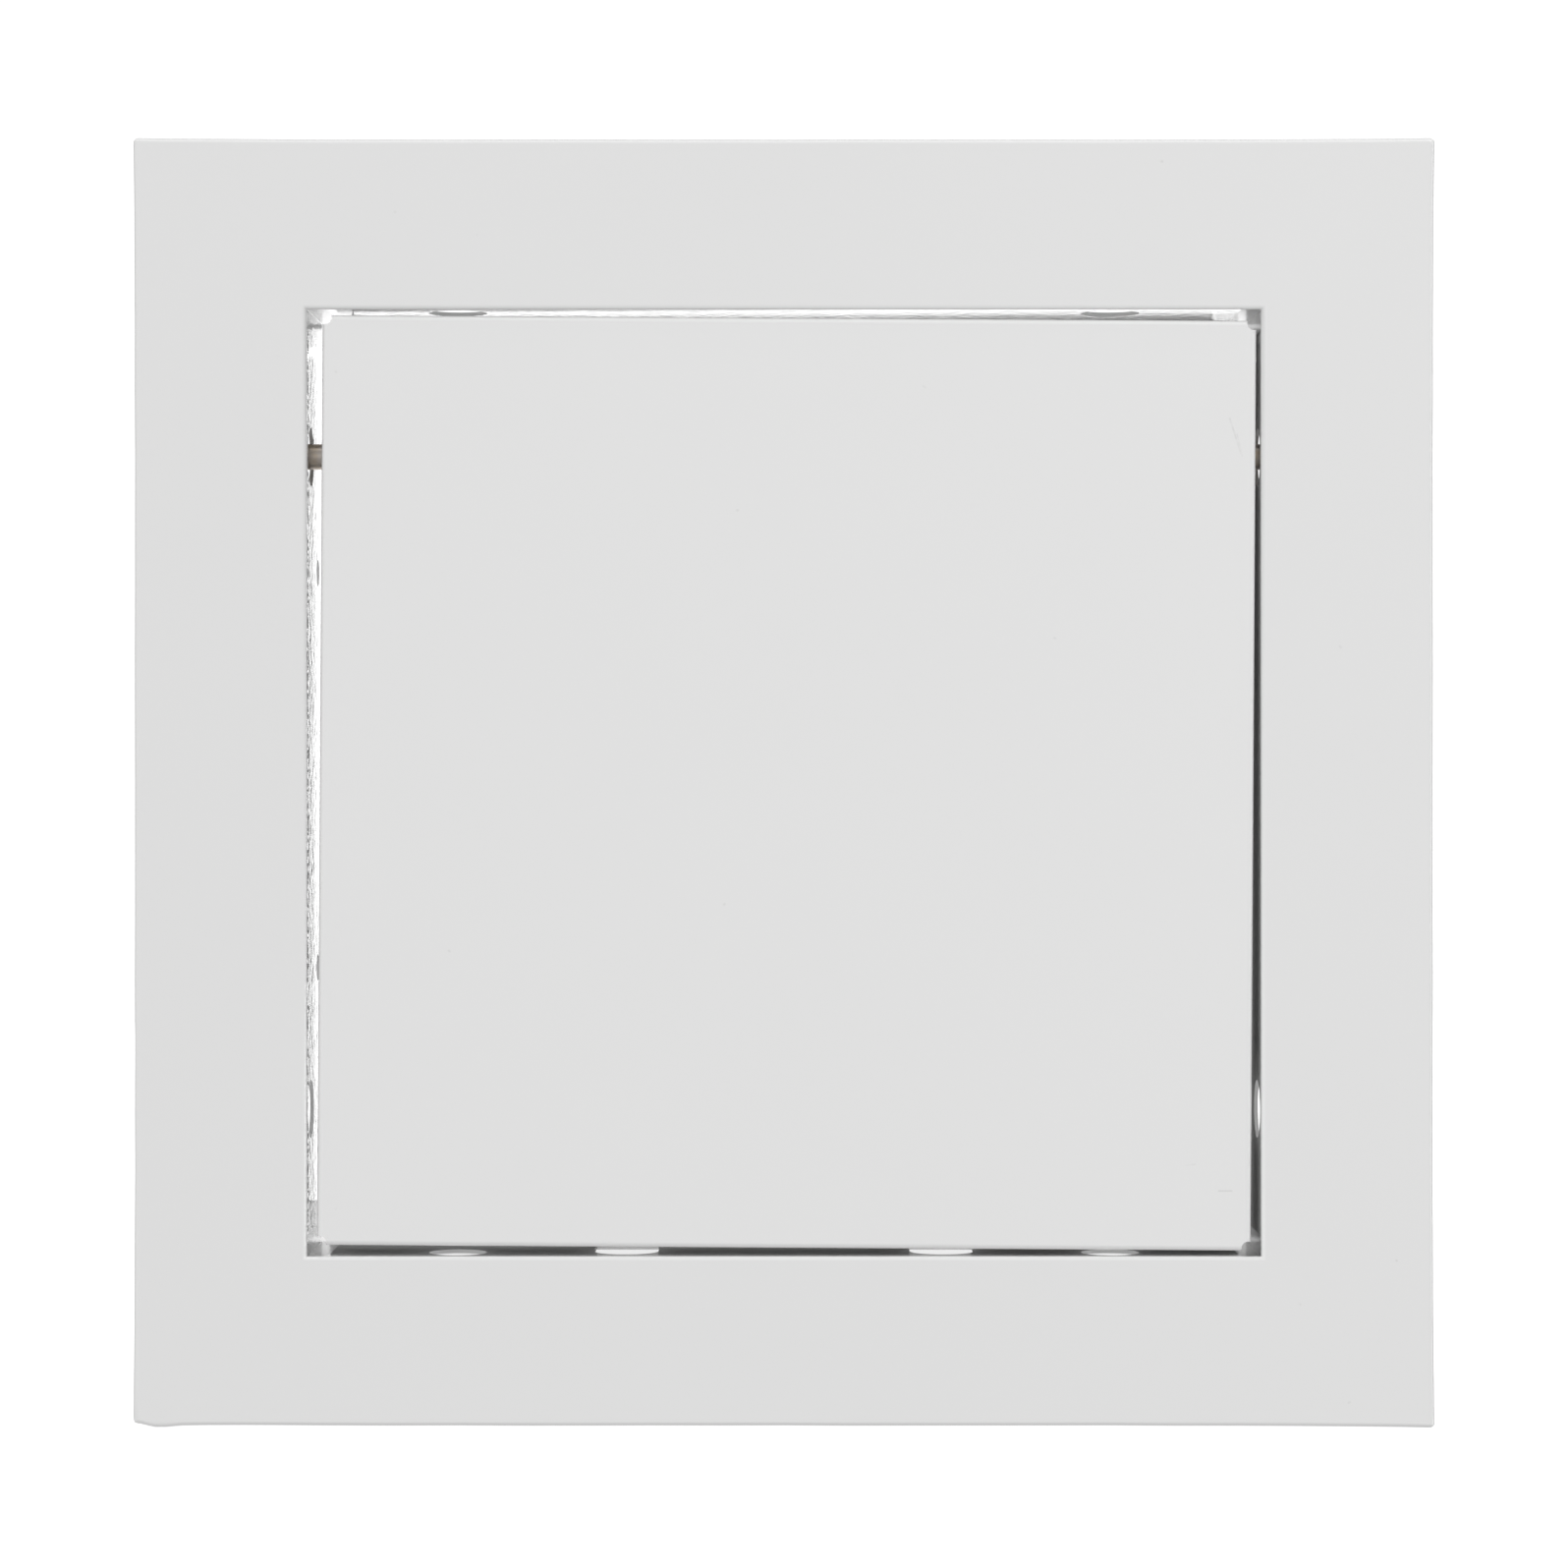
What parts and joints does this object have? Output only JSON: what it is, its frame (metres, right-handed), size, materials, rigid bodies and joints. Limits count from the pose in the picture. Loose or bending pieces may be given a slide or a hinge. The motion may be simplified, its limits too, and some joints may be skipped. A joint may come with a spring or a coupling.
{
  "type": "ceiling access panel",
  "caption": "Square white steel access panel for a ceiling or wall: wide flange, folded collar and a flush door that tips open on side pins and shuts on magnets.",
  "frame": {"origin": "middle of the opening, in the plane of the ceiling surface that the flange's rim rests on", "axes": "+X right and +Z towards the hinge edge as seen from the room, +Y into the ceiling or wall; the flange face looks towards -Y"},
  "size_m": [0.2, 0.03, 0.1982],
  "materials": {
    "frame_paint": "satin white powder coat on steel sheet",
    "door_paint": "satin white powder coat on steel sheet",
    "bracket_paint": "satin white powder coat on steel sheet",
    "zinc": "zinc plated, slightly warm",
    "nylon": "natural white nylon",
    "nickel": "nickel plated steel",
    "ferrite": "sintered ferrite"
  },
  "bodies": {
    "frame": {"frame": "frame_paint", "hinge_strap_left": "zinc", "hinge_strap_right": "zinc", "hinge_bush_left": "nylon", "hinge_bush_right": "nylon", "corner_bracket_top_left": "bracket_paint", "corner_bracket_top_right": "bracket_paint", "corner_bracket_bottom_left": "bracket_paint", "corner_bracket_bottom_right": "bracket_paint", "magnet_cup_left": "nickel", "magnet_cup_right": "nickel", "magnet_core_left": "ferrite", "magnet_core_right": "ferrite", "magnet_screw_left": "zinc", "magnet_screw_right": "zinc", "magnet_nut_left": "zinc", "magnet_nut_right": "zinc"},
    "door": {"door_panel": "door_paint", "hinge_pin_left": "zinc", "hinge_pin_right": "zinc", "pin_clip_left": "zinc", "pin_clip_right": "zinc"}
  },
  "joints": [
    {"name": "door_pivot", "type": "hinge", "parent": "frame", "child": "door", "pos_m": [0, 0.0025, 0.0505], "axis": [-1, 0, 0], "range_deg": [0, 145]}
  ]
}
